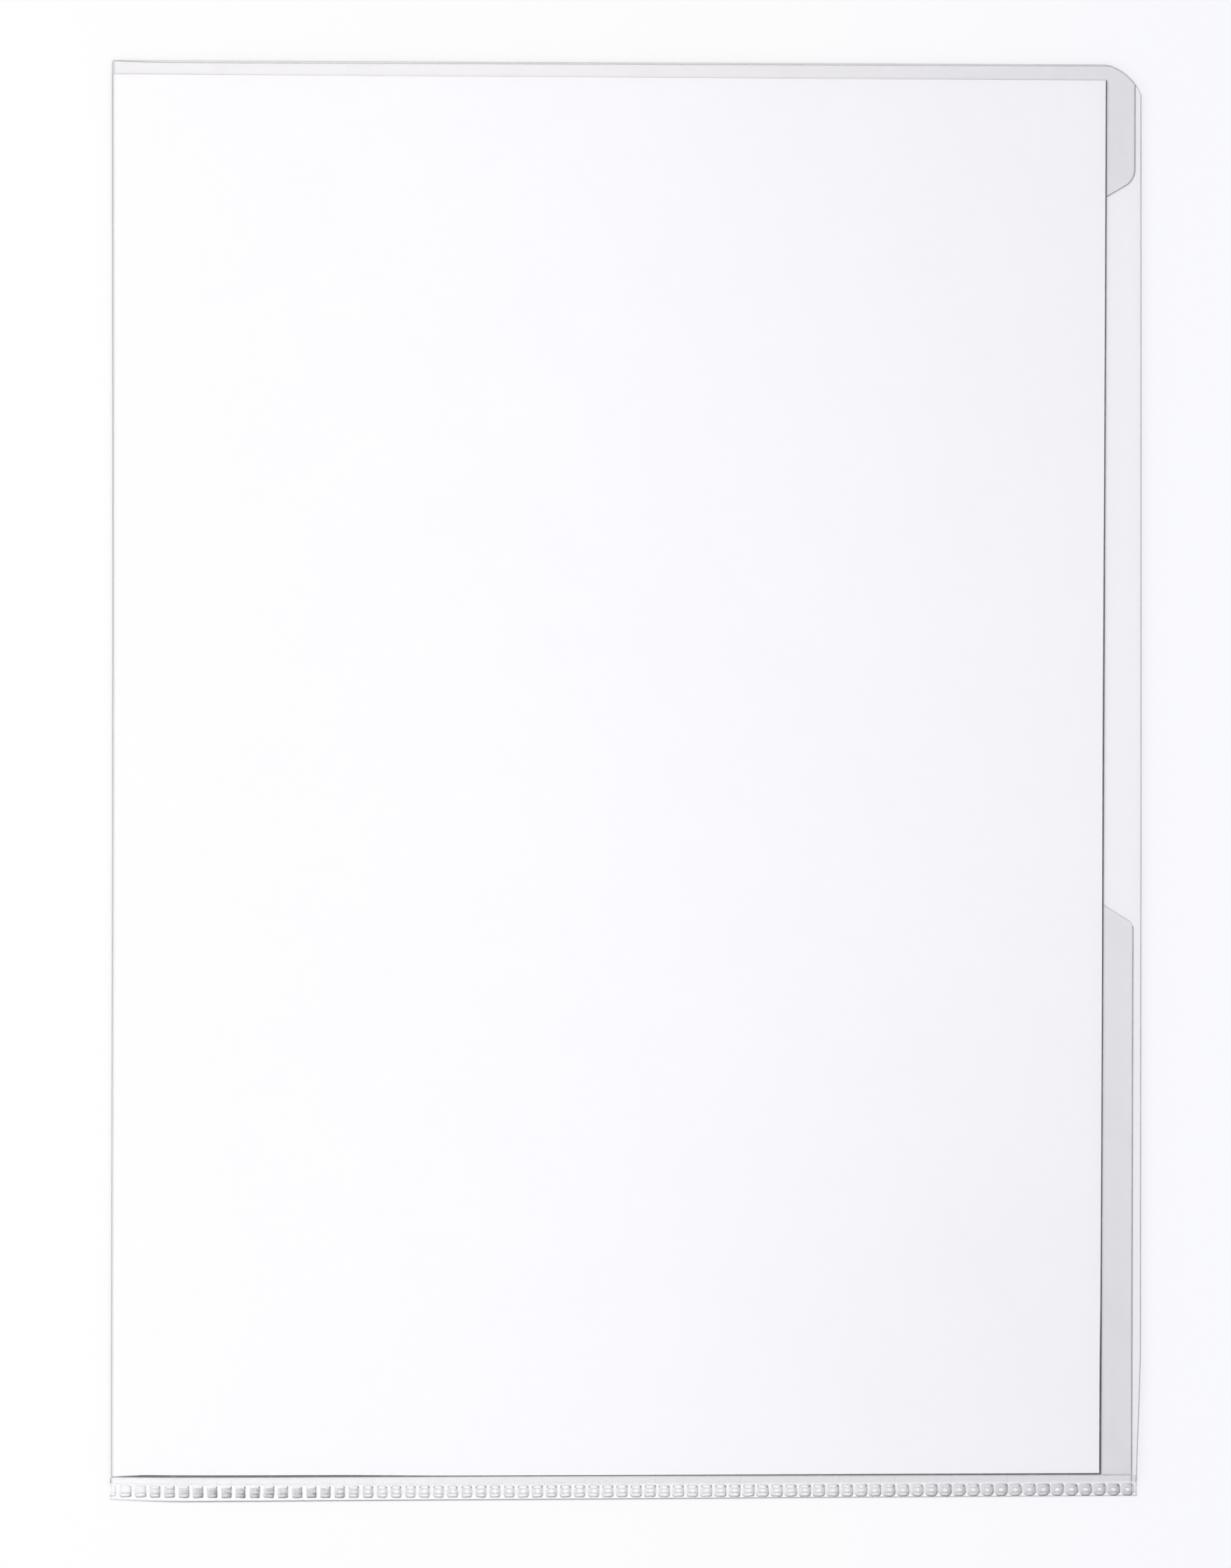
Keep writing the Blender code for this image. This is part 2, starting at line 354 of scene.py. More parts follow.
def newPiece(name, bm, finishes, smoothAngle=35):
    bmesh.ops.recalc_face_normals(bm, faces=bm.faces)
    mesh = bpy.data.meshes.new(name)
    bm.to_mesh(mesh)
    bm.free()
    for finish in finishes:
        mesh.materials.append(finish)
    mesh.shade_smooth()
    mesh.set_sharp_from_angle(angle=math.radians(smoothAngle))
    piece = bpy.data.objects.new(name, mesh)
    scene.collection.objects.link(piece)
    return piece


def flatGrid(size):
    bm = bmesh.new()
    bmesh.ops.create_grid(bm, x_segments=1, y_segments=1, size=size / 2)
    return bm


def vertsOf(items):
    return [item for item in items if isinstance(item, bmesh.types.BMVert)]


def pressFlat(bm):
    # the stack lies flatter towards the fold
    for vert in bm.verts:
        near = max(1 - (vert.co.x - leftEdge) / sheetSet["foldPressRun"], 0.0)
        vert.co.z *= 1 - sheetSet["foldPress"] * near * near


def cutAcross(bm, place, normal, dropOuter=False, dropInner=False):
    bmesh.ops.bisect_plane(
        bm,
        geom=bm.verts[:] + bm.edges[:] + bm.faces[:],
        plane_co=place,
        plane_no=normal,
        clear_outer=dropOuter,
        clear_inner=dropInner,
    )


def cutEvery(bm, normal, step):
    # cuts the whole sheet across at even steps, so that its faces stay small
    reach = [vert.co.dot(normal) for vert in bm.verts]
    count = int((max(reach) - min(reach)) / step)
    for number in range(1, count + 1):
        cutAcross(bm, normal * (min(reach) + number * step), normal)


foldRadius = stackHeight / 2
foldLine = leftEdge + foldRadius


def thicken(bm, depth):
    # gives a flat sheet its thickness, downwards
    drawn = bmesh.ops.extrude_face_region(bm, geom=bm.faces[:], use_keep_orig=True)
    bmesh.ops.translate(bm, verts=vertsOf(drawn["geom"]), vec=(0, 0, -depth))


def punchCentre():
    # middle of the round punch, from the two points where it cuts the edges
    low = Vector((rightEdge, topEdge - sheetSet["punchDown"], 0))
    high = Vector((rightEdge - sheetSet["punchAcross"], topEdge, 0))
    half = (high - low) / 2
    inward = Vector((-half.y, half.x, 0)).normalized()
    return low + half + inward * math.sqrt(sheetSet["punchRadius"] ** 2 - half.length_squared)


def onPunch(centre, x=None, y=None):
    # where the punched corner crosses an upright or a level line
    if x is not None:
        return Vector((x, centre.y + math.sqrt(sheetSet["punchRadius"] ** 2 - (x - centre.x) ** 2), 0))
    return Vector((centre.x + math.sqrt(sheetSet["punchRadius"] ** 2 - (y - centre.y) ** 2), y, 0))


def drawChain(bm, points, start=None):
    # a line of edges through the points, on from a vertex that is there already
    verts = [start] if start else []
    verts += [bm.verts.new(point) for point in points]
    for first, second in zip(verts, verts[1:]):
        bm.edges.new((first, second))
    return verts


def spinCorner(bm, vert, high, centre):
    # carries the outline round the punched corner
    turn = (vert.co - centre).angle(high - centre)
    spun = bmesh.ops.spin(
        bm,
        geom=[vert],
        cent=centre,
        axis=(0, 0, 1),
        angle=turn,
        steps=sheetSet["punchSteps"],
        use_duplicate=False,
    )
    return vertsOf(spun["geom_last"])[0]


def foldSide(bm, above, below):
    # the side along the fold, with stations that the fold shares
    count = sheetSet["foldStations"]
    stations = [above.co.lerp(below.co, step / count) for step in range(1, count)]
    chain = drawChain(bm, stations, start=above)
    bm.edges.new((chain[-1], below))


def filmBlank(rightSide, topSide, rounded):
    # rightSide runs up from the weld to the punched corner, topSide back to the fold
    bm = bmesh.new()
    centre = punchCentre()
    chain = drawChain(bm, [Vector((foldLine, filmFoot, 0)), *rightSide])
    cornerEnd = spinCorner(bm, chain[-1], topSide[0], centre)
    upper = drawChain(bm, topSide[1:], start=cornerEnd)
    foldSide(bm, upper[-1], chain[0])
    bmesh.ops.remove_doubles(bm, verts=bm.verts, dist=tiny / 10)
    bmesh.ops.edgenet_fill(bm, edges=bm.edges)
    for place, radius, turn in rounded:
        vert = min(bm.verts, key=lambda v: (v.co - place).length)
        bmesh.ops.bevel(
            bm,
            geom=[vert],
            offset=radius * math.tan(turn / 2),
            offset_type="OFFSET",
            affect="VERTICES",
            segments=sheetSet["roundSteps"],
            profile=0.5,
            material=-1,
        )
    return bm


def facesUp(face):
    # whether the cut edge of this face points up the picture, where its painted shade is paler
    cut = max((edge for edge in face.edges if edge.is_boundary), key=lambda edge: edge.calc_length())
    outward = (cut.verts[0].co + cut.verts[1].co) / 2 - face.calc_center_median()
    return outward.normalized().y > edgeShading["litFrom"]


def bandEdges(bm, litFinish):
    # a narrow band of painted shade along the cut edges, paler where they face up the picture, but not
    # along the fold or the weld
    band = sheetSet["edgeBand"]
    litIndex = filmFinishes.index(litFinish)
    ring = bmesh.ops.inset_region(
        bm,
        faces=bm.faces[:],
        thickness=band,
        use_boundary=True,
        use_even_offset=True,
    )["faces"]
    for face in ring:
        middle = face.calc_center_median()
        held = middle.x < foldLine + band or middle.y < filmFoot + band
        face.material_index = 0 if held else litIndex if facesUp(face) else 1


def frontBlank():
    centre = punchCentre()
    edgeTop = rightEdge - sheetSet["freeEdgeIn"]
    topLevel = topEdge - sheetSet["frontTopDrop"] + sheetSet["frontTopRise"]
    rightSide = [
        Vector((rightEdge - sheetSet["taperWidth"], filmFoot, 0)),
        Vector((rightEdge + sheetSet["bellyOut"], bottomEdge + sheetSet["bellyUp"], 0)),
        Vector((rightEdge + sheetSet["midEdgeOut"], 0, 0)),
        onPunch(centre, x=edgeTop),
    ]
    topSide = [onPunch(centre, y=topLevel)]
    steps = sheetSet["frontTopSteps"]
    for step in range(steps, -1, -1):
        away = sheetSet["frontTopRun"] * step * step / steps
        drop = sheetSet["frontTopDrop"] * (1 - math.exp(-away / sheetSet["frontTopRun"]))
        rise = sheetSet["frontTopRise"] * away / (rightEdge - leftEdge)
        topSide.append(Vector((foldLine + away, topEdge - drop + rise, 0)))
    bm = filmBlank(rightSide, topSide, [])
    bandEdges(bm, topLine)
    bmesh.ops.translate(bm, verts=bm.verts, vec=(0, 0, stackHeight))
    return bm


def backBlank():
    centre = punchCentre()
    backEdge = rightEdge - sheetSet["backSetIn"]
    notchHigh = topEdge - sheetSet["notchFromTop"]
    notchLow = notchHigh - sheetSet["notchLength"]
    notchFloor = backEdge - sheetSet["notchDepth"]
    highSlope, lowSlope = sheetSet["notchSlope"]
    highRadius, lowRadius = sheetSet["shoulderRadius"]
    lowShoulder = Vector((backEdge, notchLow, 0))
    lowFloor = Vector((notchFloor, notchLow + sheetSet["notchDepth"] * math.tan(lowSlope), 0))
    highFloor = Vector((notchFloor, notchHigh - sheetSet["notchDepth"] * math.tan(highSlope), 0))
    highShoulder = Vector((backEdge, notchHigh, 0))
    rightSide = [
        Vector((backEdge, filmFoot, 0)),
        lowShoulder,
        lowFloor,
        highFloor,
        highShoulder,
        onPunch(centre, x=backEdge),
    ]
    topSide = [onPunch(centre, y=topEdge + sheetSet["backTopRise"]), Vector((foldLine, topEdge, 0))]
    rounded = [
        (lowShoulder, lowRadius, math.pi / 2 - lowSlope),
        (lowFloor, sheetSet["floorRadius"], math.pi / 2 - lowSlope),
        (highFloor, sheetSet["floorRadius"], math.pi / 2 - highSlope),
        (highShoulder, highRadius, math.pi / 2 - highSlope),
    ]
    bm = filmBlank(rightSide, topSide, rounded)
    bandEdges(bm, litEdge)
    return bm


# The front film's free corner, cut into pieces at the imported hinges
hinges = [joint for joint in frame["joints"] if joint["type"] == "hinge"]
along = Vector(hinges[0]["axis"])
across = Vector((-along.y, along.x, 0))
hingeAt = [Vector(joint["pos_m"]).dot(across) for joint in hinges]
rollSet = {
    "firstReach": 0.004,  # the first bend is short, so the film keeps off the paper
    "cutsPerPiece": 14,
    "cutLength": 0.008,
}
hingeStep = hingeAt[1] - hingeAt[0]


def rollSpans():
    # (start, end) of each bend, measured across the hinges
    spans = [(hingeAt[0] - rollSet["firstReach"], hingeAt[0] + hingeStep / 2)]
    spans += [(place - hingeStep / 2, place + hingeStep / 2) for place in hingeAt[1:]]
    return spans


def rollPiece(index, span, isTip):
    bm = frontBlank()
    start, end = span
    cutAcross(bm, across * start, across, dropInner=True)
    if not isTip:
        cutAcross(bm, across * end, across, dropOuter=True)
    for step in range(1, rollSet["cutsPerPiece"]):
        cutAcross(bm, across * (start + (end - start) * step / rollSet["cutsPerPiece"]), across)
    if isTip:
        cutAcross(bm, across * end, across)
        cutEvery(bm, across, rollSet["cutLength"])
    cutEvery(bm, along, rollSet["cutLength"])
    thicken(bm, filmThickness)
    pressFlat(bm)
    hideJoin(bm, filmFinishes)
    piece = newPiece(f"front_film_roll_{index + 1}", bm, filmFinishes)
    bendEnd = hingeAt[0] + rollSet["firstReach"] if index == 0 else end
    level = Vector((0, 0, stackHeight))
    across * start + level
    across * bendEnd + level
    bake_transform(piece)
    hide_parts("front_corner" if isTip else f"front_bend_{index + 1}")


def foldBow(y):
    # how far in from the left edge the fold stands
    reach = (y - sheetSet["foldBowAt"]) / sheetSet["foldBowReach"]
    return sheetSet["foldIn"] + sheetSet["foldBow"] * max(0.0, 1 - reach * reach) ** 2


def foldEnd(y):
    # how much of its full reach the fold has, less at its top end
    near = max(1 - (topEdge - y) / sheetSet["foldEndRound"], 0.0)
    return 1 - (1 - sheetSet["foldEndShare"]) * near * near


def folderFilm(firstSpan):
    # back film, fold and the part of the front film that stays down, in one sheet
    bm = frontBlank()
    cutAcross(bm, across * firstSpan[0], across, dropOuter=True)
    lower = backBlank()
    sheet = bpy.data.meshes.new("back_blank")
    lower.to_mesh(sheet)
    lower.free()
    bm.from_mesh(sheet)
    bpy.data.meshes.remove(sheet)
    onFold = [edge for edge in bm.edges if edge.is_boundary and all(
        abs(vert.co.x - foldLine) < tiny and vert.co.z < foldRadius for vert in edge.verts)]
    bmesh.ops.spin(
        bm,
        geom=onFold,
        cent=(foldLine, 0, foldRadius),
        axis=(0, 1, 0),
        angle=math.pi,
        steps=sheetSet["foldSteps"],
        use_duplicate=False,
    )
    bmesh.ops.remove_doubles(bm, verts=bm.verts, dist=2 * tiny)
    cutEvery(bm, rightward, sheetSet["cutSize"])
    cutEvery(bm, upward, sheetSet["cutSize"])
    bmesh.ops.recalc_face_normals(bm, faces=bm.faces)
    upper = max(bm.faces, key=lambda face: face.calc_center_median().z)
    if upper.normal.z < 0:
        bmesh.ops.reverse_faces(bm, faces=bm.faces)
    foldTop = topEdge - sheetSet["edgeBand"]
    for share in sheetSet["foldEndCuts"]:
        cutAcross(bm, upward * (topEdge - sheetSet["foldEndRound"] * share), upward)
    # painted shade along the fold, paler at its top end
    for face in bm.faces:
        middle = face.calc_center_median()
        if middle.x < foldLine + sheetSet["edgeBand"]:
            face.material_index = filmFinishes.index(litEdge if middle.y > foldTop else foldEdge)
    bmesh.ops.solidify(bm, geom=bm.faces[:], thickness=filmThickness)
    for vert in bm.verts:
        if vert.co.x < foldLine + sheetSet["foldReach"]:
            vert.co.x += foldBow(vert.co.y)
        if vert.co.x < foldLine:
            vert.co.x = foldLine + (vert.co.x - foldLine) * foldEnd(vert.co.y)
    pressFlat(bm)
    hideJoin(bm, filmFinishes)
    piece = newPiece("folded_film", bm, filmFinishes)
    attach(piece, "folder")
    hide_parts("back_panel", "spine_fold", "front_panel")


spans = rollSpans()
folderFilm(spans[0])
for index, span in enumerate(spans):
    rollPiece(index, span, isTip=index == len(spans) - 1)
print("films made,", len(spans), "bends in the free corner")


# The weld along the bottom: a row of pressed cells under the fork of the two films
weldSet = {
    "startIn": 0.00006,
    "firstCell": 0.00246,  # from the fold
    "cellWidth": 0.0024,
    "cellHeight": 0.00265,
    "cellGap": 0.0006,
    "cellCount": 72,
    "cellFoot": 0.00025,  # from the bottom edge
    "crowd": 0.0004,  # the first cells crowd towards the fold
    "crowdFrom": 0.0025,
    "crowdRun": 0.0045,
    "fused": 0.00030,  # thickness of both films together
    "cutRound": ((0.00014, 0.9), (0.0, 0.6), (0.0, 0.25), (0.00008, 0.0)),  # (up, share of fused)
    "backFork": 0.0005,  # above the cells, where the back film comes free
    "throat": ((0.00030, 0.6), (0.0007, 1.1)),  # where the films part, (up, share of fused)
    "shoulder": ((0.0010, 0.68), (0.0004, 0.42)),  # outside of the fork, (up, share of the stack)
    "rings": (  # (width, rise) of each step
        (0.00022, 0.00020),
        (0.00022, 0.00004),
        (0.00026, -0.00026),
        (0.00012, -0.00003),
    ),
    "jitter": 0.00003,
    "edgeDip": -0.00060,  # how the cut bottom edge wanders
    "edgeDipAt": -0.092,
    "edgeClimb": 0.0037,
    "cellLift": 0.0004,  # the cells climb a little at the fold
    "cellLiftRun": 0.012,
    "endCrease": 0.9,  # keeps both ends crisp when the cells are rounded
    "roundLevels": 2,
    "seed": 7,
}
cellPitch = weldSet["cellWidth"] + weldSet["cellGap"]
cellLow = bottomEdge + weldSet["cellFoot"]
cellHigh = cellLow + weldSet["cellHeight"]
cellMiddle = (cellLow + cellHigh) / 2
firstCellX = leftEdge + weldSet["firstCell"]
weldStart = leftEdge + weldSet["startIn"]
weldEnd = rightEdge - sheetSet["taperWidth"]


def weldSection():
    # (y, z) round the section, starting with the span over the cells
    fused = weldSet["fused"]
    cutRound = [(bottomEdge + up, fused * share) for up, share in weldSet["cutRound"]]
    throat = [(cellHigh + up, fused * share) for up, share in weldSet["throat"]]
    shoulder = [(cellHigh + up, stackHeight * share) for up, share in weldSet["shoulder"]]
    return [
        (cellHigh, fused),
        (cellLow, fused),
        *cutRound,
        (cellMiddle, 0.0),
        (filmFoot, 0.0),
        (filmFoot, filmThickness),
        (cellHigh + weldSet["backFork"], filmThickness),
        *throat,
        (filmFoot, stackHeight - filmThickness),
        (filmFoot, stackHeight),
        *shoulder,
    ]


def drawOn(bm, edges, length):
    # carries the section on to the right, and gives its new end and the face over the cells
    drawn = bmesh.ops.extrude_edge_only(bm, edges=edges)["geom"]
    moved = set(vertsOf(drawn))
    bmesh.ops.translate(bm, verts=vertsOf(drawn), vec=(length, 0, 0))
    sides = [item for item in drawn if isinstance(item, bmesh.types.BMEdge)]
    ends = [edge for edge in sides if moved.issuperset(edge.verts)]
    faces = [item for item in drawn if isinstance(item, bmesh.types.BMFace)]
    overCells = Vector((cellMiddle, weldSet["fused"]))
    return ends, min(faces, key=lambda face: (face.calc_center_median().yz - overCells).length)


def edgeWander(x):
    dip, dipAt = weldSet["edgeDip"], weldSet["edgeDipAt"]
    if x > dipAt:
        return dip + weldSet["edgeClimb"] * (x - dipAt)
    share = (dipAt - x) / (dipAt - leftEdge)
    return dip * (1 - share * share)


def cellCrowd(x):
    if x < leftEdge + weldSet["crowdFrom"] / 2:
        return 0.0
    return weldSet["crowd"] * math.exp((leftEdge + weldSet["crowdFrom"] - x) / weldSet["crowdRun"])


def cellLift(x):
    return weldSet["cellLift"] * math.exp((leftEdge - x) / weldSet["cellLiftRun"])


def pressCells(bm, cells):
    # rings step each cell up to its rim and down to its floor, which lies a little unevenly
    rng = random.Random(weldSet["seed"])
    for width, rise in weldSet["rings"]:
        bmesh.ops.inset_individual(bm, faces=cells, thickness=width, depth=rise)
    for cell in cells:
        lean = rng.uniform(-1, 1) * weldSet["jitter"]
        for vert in cell.verts:
            vert.co.z += lean + rng.uniform(-1, 1) * weldSet["jitter"] / 2
            vert.co.x += rng.uniform(-1, 1) * weldSet["jitter"]


def creaseEnds(bm):
    crease = bm.edges.layers.float.new("crease_edge")
    for edge in bm.edges:
        if atFoot(edge.verts):
            edge[crease] = 1.0
        for end in (weldStart, weldEnd):
            if all(abs(vert.co.x - end) < tiny for vert in edge.verts):
                edge[crease] = weldSet["endCrease"]


def bendBand(bm):
    # the cut edge wanders, and the first cells climb and crowd towards the fold
    for vert in bm.verts:
        onCells = min(max((filmFoot - vert.co.y) / (filmFoot - cellHigh), 0.0), 1.0)
        atEdge = min(max((cellLow - vert.co.y) / (cellLow - bottomEdge), 0.0), 1.0)
        lift = cellLift(vert.co.x) * onCells
        vert.co.y += lift + (edgeWander(vert.co.x) - lift) * atEdge
        vert.co.x -= cellCrowd(vert.co.x)


def weldBand(finishes):
    bm = bmesh.new()
    ring = [bm.verts.new((weldStart, y, z)) for y, z in weldSection()]
    edges = bm.faces.new(ring).edges[:]
    cells = []
    x = weldStart
    for index in range(weldSet["cellCount"]):
        start = firstCellX + index * cellPitch
        edges = drawOn(bm, edges, start - x)[0]
        edges, cell = drawOn(bm, edges, weldSet["cellWidth"])
        cells.append(cell)
        x = start + weldSet["cellWidth"]
    edges = drawOn(bm, edges, weldEnd - x)[0]
    bmesh.ops.contextual_create(bm, geom=edges)
    bmesh.ops.recalc_face_normals(bm, faces=bm.faces)
    pressCells(bm, cells)
    creaseEnds(bm)
    bendBand(bm)
    pressFlat(bm)
    hideJoin(bm, finishes)
    piece = newPiece("weld_band", bm, finishes, smoothAngle=180)
    for edge in piece.data.edges:
        ends = [piece.data.vertices[index] for index in edge.vertices]
        edge.use_edge_sharp = atFoot(ends)
    rounder = piece.modifiers.new("rounded cells", "SUBSURF")
    rounder.levels = weldSet["roundLevels"]
    rounder.render_levels = weldSet["roundLevels"]
    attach(piece, "folder")
    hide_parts("weld_seam")


weldShading = {
    # painted shade and painted highlight colours of the cells, and how much of the film they cover
    "dark": (0.13, 0.13, 0.15, 1.0),
    "light": (0.97, 0.97, 0.99, 1.0),
    "roughness": 0.2,
    "darkCover": 0.58,
    "lightCover": 0.90,
    "mostCover": 0.92,
    "leastLight": 0.01,  # keeps the share of light from dividing by nothing
    "bottomDark": 1.3,  # the painted shade line along the cut edge is darker than the rest
    "wobble": 0.0003,
    "wobbleScale": 650.0,
    "streakScale": 2400.0,
    "streakStretch": (0.3, 1.0, 1.0),
    "streakFrom": (0.30, 0.70),
    "topOnly": (0.00004, 0.00010),  # the underside stays plain
    "forkSheen": 0.06,  # the fork mirrors more on the left
    "forkFrom": (0.0014, 0.0018),
    "forkFade": (0.03, -0.07),
}

# How the cells change along the weld: (from, to) of each fade
cellZones = {
    "pressedIn": (0.004, 0.020),  # from the fold: pressed harder near it
    "pressedOut": (0.062, 0.040),
    "started": (0.005, 0.014),  # the first cells show less
    "firstShown": (0.0008, 0.0028),
    "bottomIn": (0.0, 0.02),
    "spoolOut": (0.060, 0.0),  # from the middle of the folder: like a spool on the left of this
    "nearEnd": (0.010, 0.105),  # pressed wider towards the free end
    "widening": (-0.05, 0.09),
    "sideDark": (-0.02, 0.03),
}

# The rounded outline of a cell
cellOutline = {
    "drawnIn": 0.0001,
    "widerBy": 0.00028,  # towards the free end
    "narrowerBy": 0.00006,  # near the fold
    "corner": 0.00052,
    "endCorner": 0.0002,  # rounder towards the free end, most of all at the foot
    "endFoot": 0.0005,
    "endFootFade": (0.0002, -0.0002),
    "foldCorner": 0.0002,  # squarer near the fold
    "edgeFade": (0.00010, -0.00012),
    "eyeCurve": 420.0,  # how much the line under the eye curves, per metre
    "lowDrop": 0.00016,  # the low line drops towards the free end
    "endMiddle": 0.0003,
    "earClear": 2.5,  # how fast the cap leaves room for the ear
}

# What a pressed cell shows in painted shade and highlights: (across, up) from its middle and (half
# width, half height)
cellMarks = {
    "rightEar": (0.00098, 0.00092, 0.00023, 0.00034),
    "leftEar": (-0.00096, 0.00092, 0.00022, 0.00032),
    "eye": (0.0, 0.00086, 0.00076, 0.00036),
    "middle": (0.0, 0.00002, 0.00070, 0.00048),
    "spot": (0.0, 0.00004, 0.00046, 0.00042),
    "lowBand": (0.0, -0.00080, 0.00100, 0.00022),
}

# Painted shade and highlight lines: (place, half width), from the outline, the cell's middle or an edge
# of the film
cellLines = {
    "outline": (-0.00010, 0.00016),
    "halo": (0.00015, 0.00015),
    "rightSide": (-0.00014, 0.00018),
    "eye": (0.00040, 0.00014),
    "waist": (0.00080, 0.00012),
    "low": (-0.00044, 0.00019),
    "crease": (0.0, 0.00010),
    "bottom": (0.00014, 0.00021),
    "foldEnd": (0.00008, 0.00014),
    "freeEnd": (-0.00008, 0.00014),
    "backEnd": (-0.00014, 0.00012),
}

# Where those lines and the fills between them come in or go out: (from, to)
cellFades = {
    "rightSide": (0.00125, 0.00095),
    "lowSides": (0.0, -0.0006),
    "foot": (-0.0007, -0.0011),
    "topArc": (0.0008, 0.0011),
    "eye": (0.00100, 0.00085),
    "waist": (0.0006, 0.0004),
    "low": (0.00108, 0.00080),
    "bodyLeft": (-0.00100, -0.00030),
    "bodyTop": (0.00085, 0.00055),
    "backFilm": (0.0001, -0.0001),
    "cap": (0.00060, 0.00095),
    "halo": (0.0002, 0.0006),
    "gap": (0.00002, 0.00014),
    "gapEnds": (0.00145, 0.00125),
    "footGap": (0.00002, 0.00012),
    "footGapIn": (-0.0006, -0.0010),
    "footGapOut": (-0.0018, -0.0015),
    "below": (-0.00138, -0.00150),
    "foldEnd": (0.0008, 0.0012),
    "creaseIn": (0.0014, 0.0020),
    "creaseOut": (0.0034, 0.0024),
}

# How strong each of them is: all over, and what each stretch of the weld or side of the cell adds
cellStrengths = {
    "rightEar": {"all": 1.0, "nearEnd": -0.3},
    "leftEar": {"all": 0.8},
    "rightSide": {"all": 0.65, "started": -0.40, "nearFold": 0.15, "sideDark": 0.50},
    "lowSides": {"plain": 0.10, "east": 0.32},
    "foot": {"all": 0.80, "east": 0.25},
    "topArc": {"all": 0.20, "nearEnd": 0.15},
    "eyeLine": {"all": 0.40},
    "waist": {"all": 0.14, "east": 0.22},
    "upperLines": {"all": 1.0, "nearEnd": -0.5},
    "lowLine": {"all": 0.40, "east": 0.20},
    "foldBody": {"all": 0.16, "streak": 0.55},
    "foldBodySide": {"all": 0.75, "east": 0.45},
    "sideBody": {"east": 0.05},
    "endBody": {"all": 0.24, "east": 0.25},
    "allDark": {"all": 0.35, "firstShown": 0.65},
    "darkByChance": {"all": 0.88, "chance": 0.24},
    "eye": {"all": 1.2, "nearEnd": -1.02},
    "middle": {"all": 0.75, "nearFold": -0.6},
    "spot": {"nearEnd": 0.25},
    "veil": {"spool": 0.20},
    "cap": {"nearFold": 0.8},
    "lowBand": {"all": 1.3, "nearFold": -0.8, "nearEnd": -0.8},
    "halo": {"all": 0.8, "nearEnd": -0.3},
    "gap": {"all": 0.75, "nearFold": 0.25, "nearEnd": -0.35},
    "footGap": {"all": 0.95},
    "below": {"all": 0.8},
    "bottom": {"all": 0.3, "bottomIn": 0.7, "nearEnd": -0.35},
    "ends": {"all": 0.8},
    "creases": {"chance": 0.08},
}


def zone(value, key):
    return value.eased(*cellZones[key])


def fade(value, key):
    return value.eased(*cellFades[key])


def howStrong(cell, key):
    # the sum of what a line or fill takes from each stretch
    parts = [amount * getattr(cell, name) for name, amount in cellStrengths[key].items()]
    return sum(parts[1:], parts[0])


def stroke(value, key):
    # a line, strongest at its place and fading to both sides
    at, halfWidth = cellLines[key]
    return (1 - abs(value - at) / halfWidth).clamped()


def mark(cell, key):
    acrossAt, upAt, acrossSize, upSize = cellMarks[key]
    return (1 - ((cell.u - acrossAt) / acrossSize) ** 2.0 - ((cell.v - upAt) / upSize) ** 2.0).clamped()


def cellPlace(wire):
    # where a point lies in its own cell, u across and v up from the middle
    coords = objectCoords(wire)
    x = axisOf(coords, 0)
    y = axisOf(coords, 1)
    fromFold = x - leftEdge
    crowding = wire.maths("EXPONENT", (weldSet["crowdFrom"] - fromFold) / weldSet["crowdRun"])
    lift = weldSet["cellLift"] * wire.maths("EXPONENT", fromFold / -weldSet["cellLiftRun"])
    firstEdge = firstCellX - weldSet["cellGap"] / 2
    count = (x + weldSet["crowd"] * crowding - firstEdge) / cellPitch
    number = wire.maths("FLOOR", count)
    noise = flatNoise(wire, coords, weldShading["wobbleScale"], 1.0)
    wobble = weldShading["wobble"] * (noise - 0.5)
    stretched = wire.node("Mapping", values={"Vector": coords, "Scale": weldShading["streakStretch"]})
    streak = flatNoise(wire, stretched, weldShading["streakScale"], 1.0)
    return SimpleNamespace(
        x=x,
        y=y,
        z=axisOf(coords, 2),
        fromFold=fromFold,
        fromBack=x - (rightEdge - sheetSet["backSetIn"]),
        u=(count - number - 0.5) * cellPitch + wobble,
        v=y - cellMiddle - lift + wobble,
        chance=wire.node("TexWhiteNoise", {"noise_dimensions": "1D"}, {"W": number}),
        streak=streak.eased(*weldShading["streakFrom"]),
    )


def addZones(cell):
    # pressed harder near the fold and towards the free end, like a spool between; these stretches set
    # the painted shade and highlights
    cell.all = 1.0
    cell.nearFold = zone(cell.fromFold, "pressedIn") * zone(cell.fromFold, "pressedOut")
    cell.nearEnd = zone(cell.x, "nearEnd")
    cell.plain = 1 - cell.nearFold
    cell.started = zone(cell.fromFold, "started")
    cell.spool = cell.plain * cell.started * zone(cell.x, "spoolOut")
    cell.firstShown = zone(cell.fromFold, "firstShown")
    cell.bottomIn = zone(cell.fromFold, "bottomIn")
    cell.sideDark = zone(cell.x, "sideDark")


